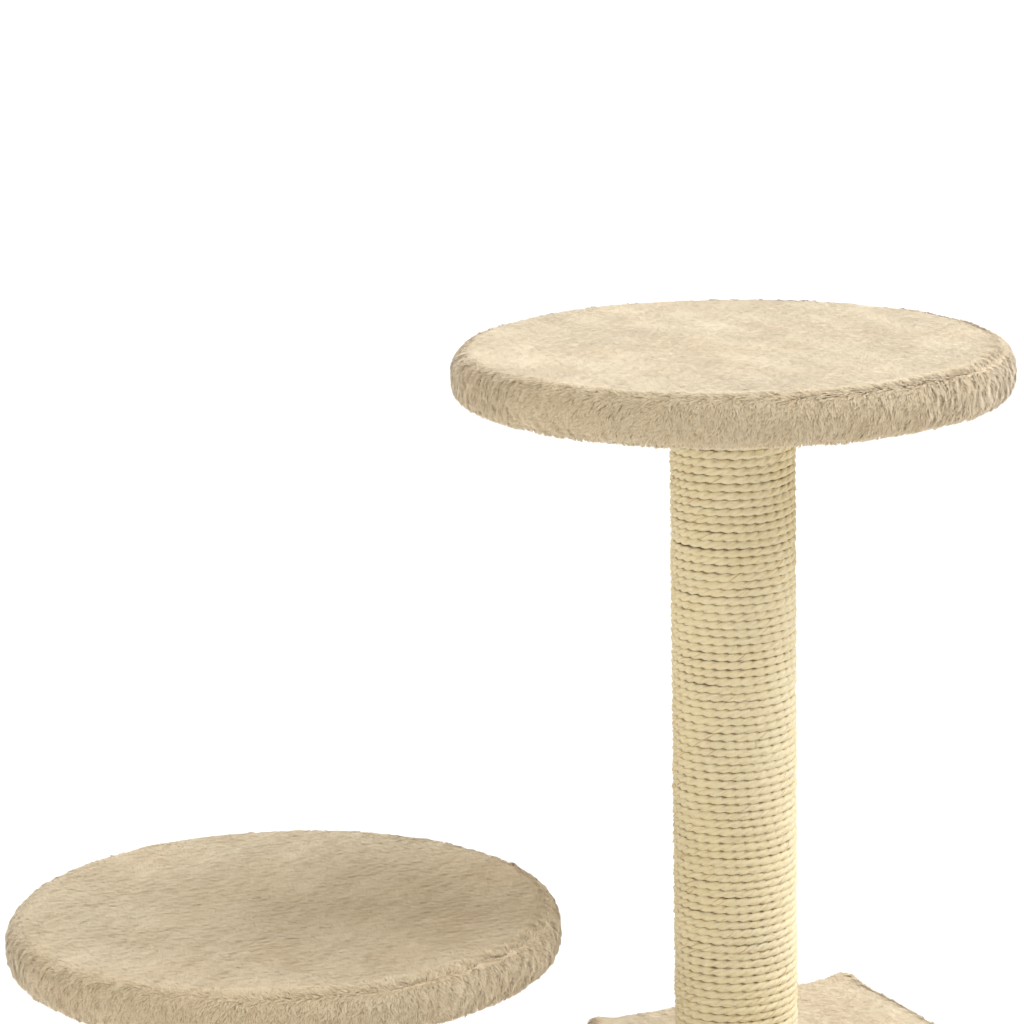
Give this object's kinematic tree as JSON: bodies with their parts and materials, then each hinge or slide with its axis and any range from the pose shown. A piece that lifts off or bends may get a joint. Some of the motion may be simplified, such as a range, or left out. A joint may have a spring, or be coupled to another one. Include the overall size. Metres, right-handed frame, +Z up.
{
  "type": "cat tree",
  "caption": "Plush cat tree: box den with a round entrance on a base, sisal-wound posts screwed up from base and roof, round padded perches at stepped heights.",
  "frame": {"origin": "centre of the base's underside, on the floor", "axes": "+Z up, +X along the base's long side towards the den, +Y towards the back; the den's entrance faces -Y"},
  "size_m": [0.533, 0.443, 0.7218],
  "materials": {
    "plush": "matte",
    "sisal": "matte",
    "nonwoven": "matte",
    "chipboard": "matte",
    "softwood": "matte",
    "cardboard": "matte",
    "zinc_steel": "satin"
  },
  "bodies": {
    "base": {"base_board": "chipboard", "base_cover": "plush", "base_underside_sheet": "nonwoven", "condo_back_cover": "plush", "condo_back_panel": "chipboard", "condo_front_cover": "plush", "condo_front_panel": "chipboard", "condo_left_cover": "plush", "condo_left_panel": "chipboard", "condo_right_cover": "plush", "condo_right_panel": "chipboard", "condo_roof_board": "chipboard", "condo_roof_cover": "plush", "entrance_lining": "plush", "floor_screw_1": "zinc_steel", "floor_screw_2": "zinc_steel", "floor_screw_3": "zinc_steel", "floor_screw_4": "zinc_steel", "lower_post_bolt": "zinc_steel", "lower_post_washer": "zinc_steel", "roof_screw_1": "zinc_steel", "roof_screw_2": "zinc_steel", "roof_screw_3": "zinc_steel", "roof_screw_4": "zinc_steel", "upper_post_bolt": "zinc_steel", "upper_post_washer": "zinc_steel"},
    "lower_post": {"lower_post_bottom_insert": "zinc_steel", "lower_post_bottom_plug": "softwood", "lower_post_rope_end_staple": "zinc_steel", "lower_post_rope_start_staple": "zinc_steel", "lower_post_sisal_winding": "sisal", "lower_post_top_insert": "zinc_steel", "lower_post_top_plug": "softwood", "lower_post_tube": "cardboard"},
    "lower_perch": {"lower_perch_board": "chipboard", "lower_perch_bolt": "zinc_steel", "lower_perch_cover": "plush", "lower_perch_underside_disc": "nonwoven"},
    "upper_post": {"upper_post_bottom_insert": "zinc_steel", "upper_post_bottom_plug": "softwood", "upper_post_rope_end_staple": "zinc_steel", "upper_post_rope_start_staple": "zinc_steel", "upper_post_sisal_winding": "sisal", "upper_post_top_insert": "zinc_steel", "upper_post_top_plug": "softwood", "upper_post_tube": "cardboard"},
    "upper_perch": {"upper_perch_board": "chipboard", "upper_perch_bolt": "zinc_steel", "upper_perch_cover": "plush", "upper_perch_underside_disc": "nonwoven"}
  },
  "joints": [
    {"name": "lower_post_turn", "type": "hinge", "parent": "base", "child": "lower_post", "pos_m": [-0.119, 0.123, 0.0183], "axis": [0, 0, 1], "range_deg": [0, 450]},
    {"name": "lower_perch_turn", "type": "hinge", "parent": "lower_post", "child": "lower_perch", "pos_m": [-0.119, 0.123, 0.3983], "axis": [0, 0, 1], "range_deg": [0, 450]},
    {"name": "upper_post_turn", "type": "hinge", "parent": "base", "child": "upper_post", "pos_m": [0.114, 0.04, 0.3183], "axis": [0, 0, 1], "range_deg": [0, 450]},
    {"name": "upper_perch_turn", "type": "hinge", "parent": "upper_post", "child": "upper_perch", "pos_m": [0.114, 0.04, 0.6983], "axis": [0, 0, 1], "range_deg": [0, 450]}
  ]
}
